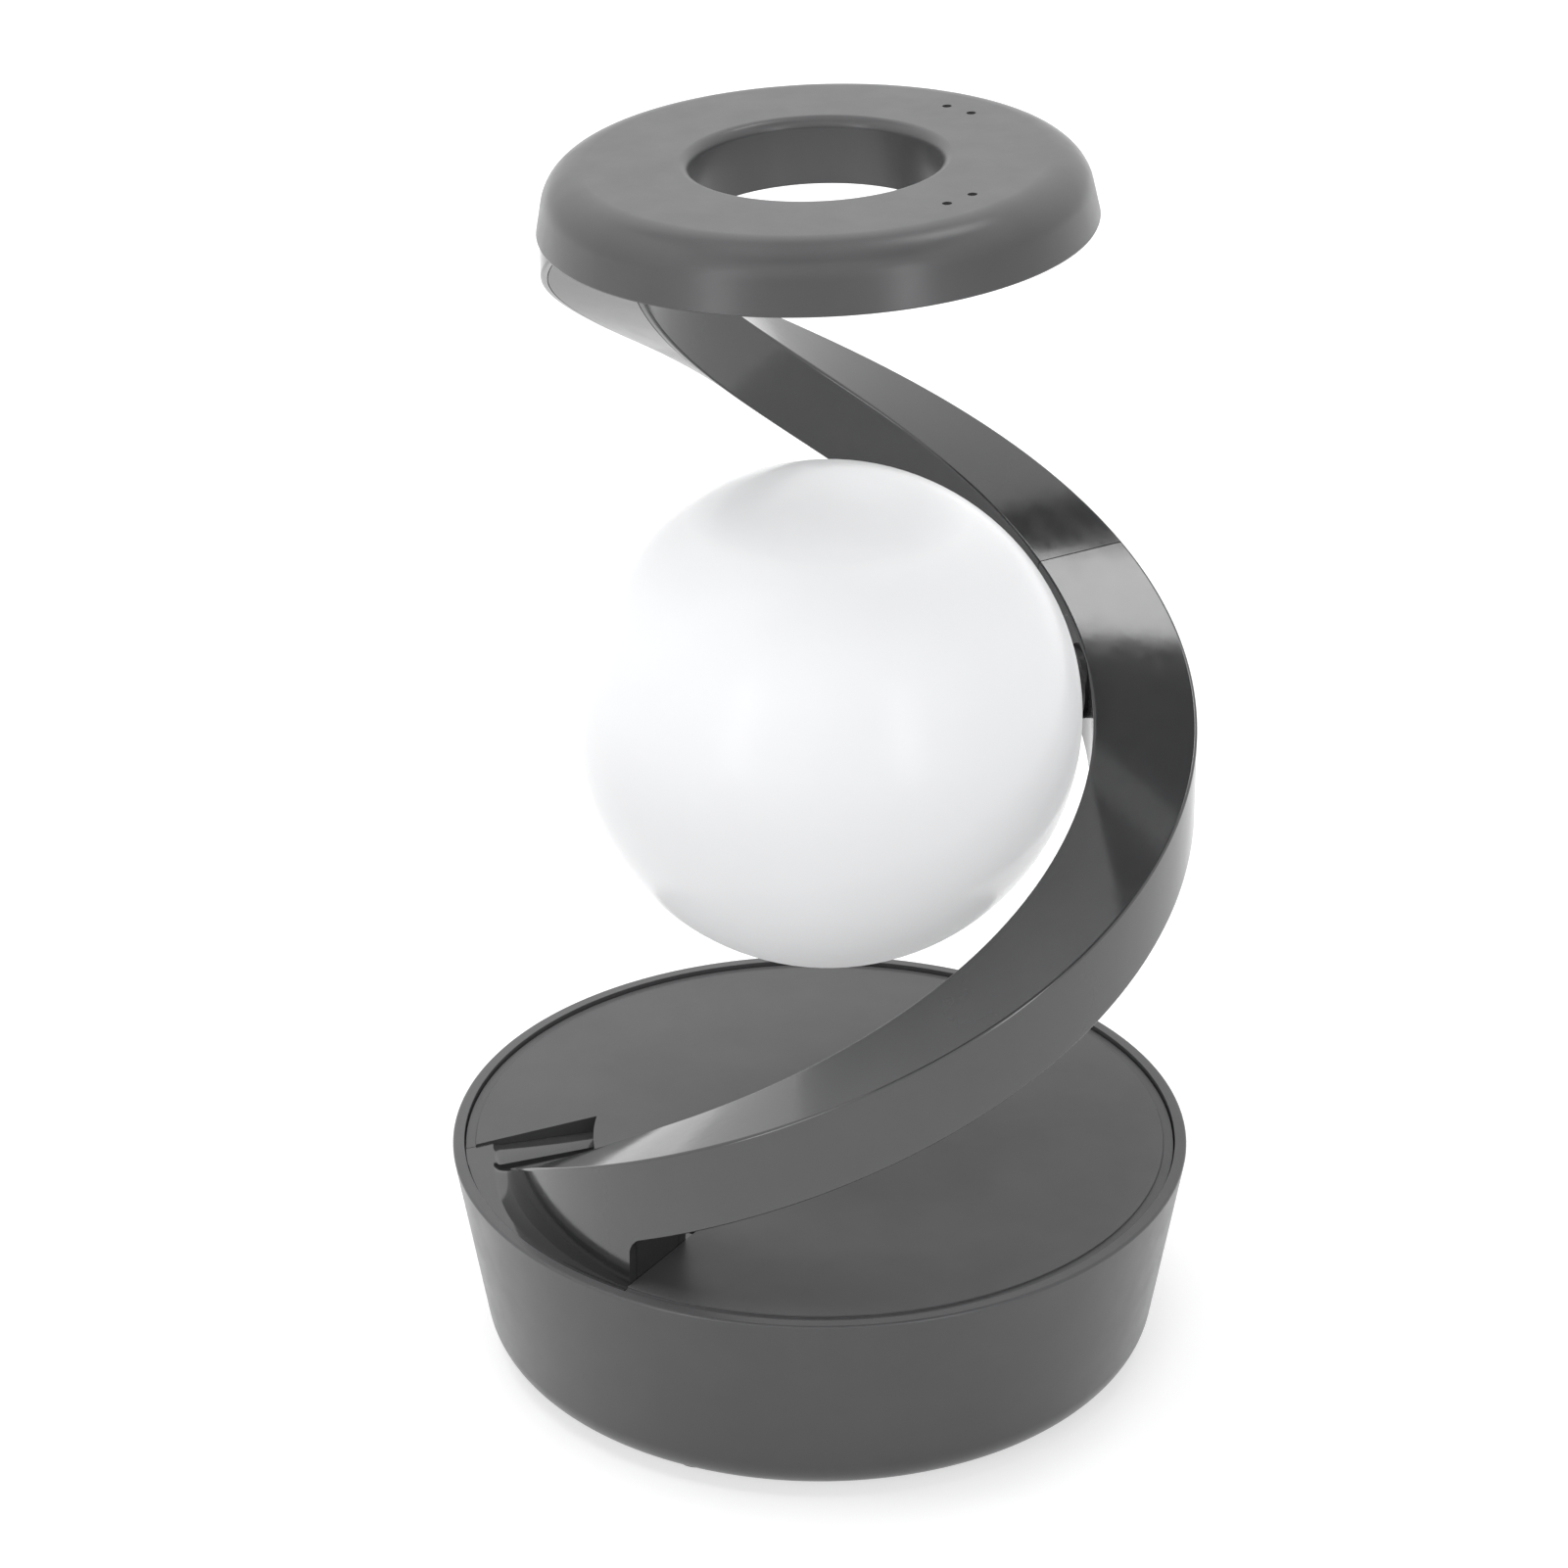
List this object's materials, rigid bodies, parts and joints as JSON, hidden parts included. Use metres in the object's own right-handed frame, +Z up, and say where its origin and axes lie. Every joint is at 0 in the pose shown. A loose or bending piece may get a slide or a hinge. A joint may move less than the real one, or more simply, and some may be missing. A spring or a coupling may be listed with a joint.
{
  "type": "spiral table lamp",
  "caption": "Spiral table lamp: a round charging base, a rising and narrowing spiral arm, a flat light ring at the top and an opal globe turning inside the spiral.",
  "frame": {"origin": "on the table, under the centre of the round base", "axes": "+Z up, +X to the viewer's right, -Y towards the viewer"},
  "size_m": [0.14, 0.14, 0.2386],
  "materials": {
    "housing": "satin dark grey",
    "deck": "satin dark grey",
    "arm": "gloss dark grey",
    "arm_cover": "gloss dark grey",
    "inner_plastic": "moulded",
    "rubber": "matt",
    "steel": "zinc plated",
    "weight": "cast",
    "ferrite": "sintered",
    "copper": "enamelled winding",
    "brass": "turned",
    "green_board": "solder mask",
    "white_board": "solder mask",
    "light_chips": "cast resin",
    "diffuser": "opal",
    "globe": "opal white"
  },
  "bodies": {
    "stand": {"base_tub": "housing", "bottom_cover": "housing", "rubber_feet": "rubber", "deck_screws": "steel", "cover_screws": "steel", "counterweight": "weight", "main_board": "green_board", "usb_socket": "steel", "touch_contact": "brass", "deck": "deck", "charging_coil": "copper", "coil_ferrite": "ferrite", "coil_tray": "inner_plastic", "tray_screws": "steel", "foot_bracket": "steel", "foot_block": "inner_plastic", "foot_screws": "steel", "arm_lower_shell": "arm", "arm_lower_cover": "arm_cover", "arm_splice": "inner_plastic", "arm_upper_shell": "arm", "arm_upper_cover": "arm_cover", "arm_head": "inner_plastic", "head_screws": "steel", "ring_cover": "housing", "ring_base": "housing", "ring_diffuser": "diffuser", "ring_led_board": "white_board", "ring_leds": "light_chips", "ring_screws": "steel", "pivot_bush": "steel", "pivot_washer": "brass"},
    "globe": {"pivot_nut": "steel", "pivot_axle": "steel", "globe_shell": "globe", "globe_hub": "globe", "hub_screws": "steel", "globe_led_board": "white_board", "globe_leds": "light_chips"}
  },
  "joints": [
    {"name": "globe_spin", "type": "hinge", "parent": "stand", "child": "globe", "pos_m": [0.0015, -0.0035, 0.13112], "axis": [0.9583, 0.2857, 0], "range_deg": [-150, 150]}
  ]
}
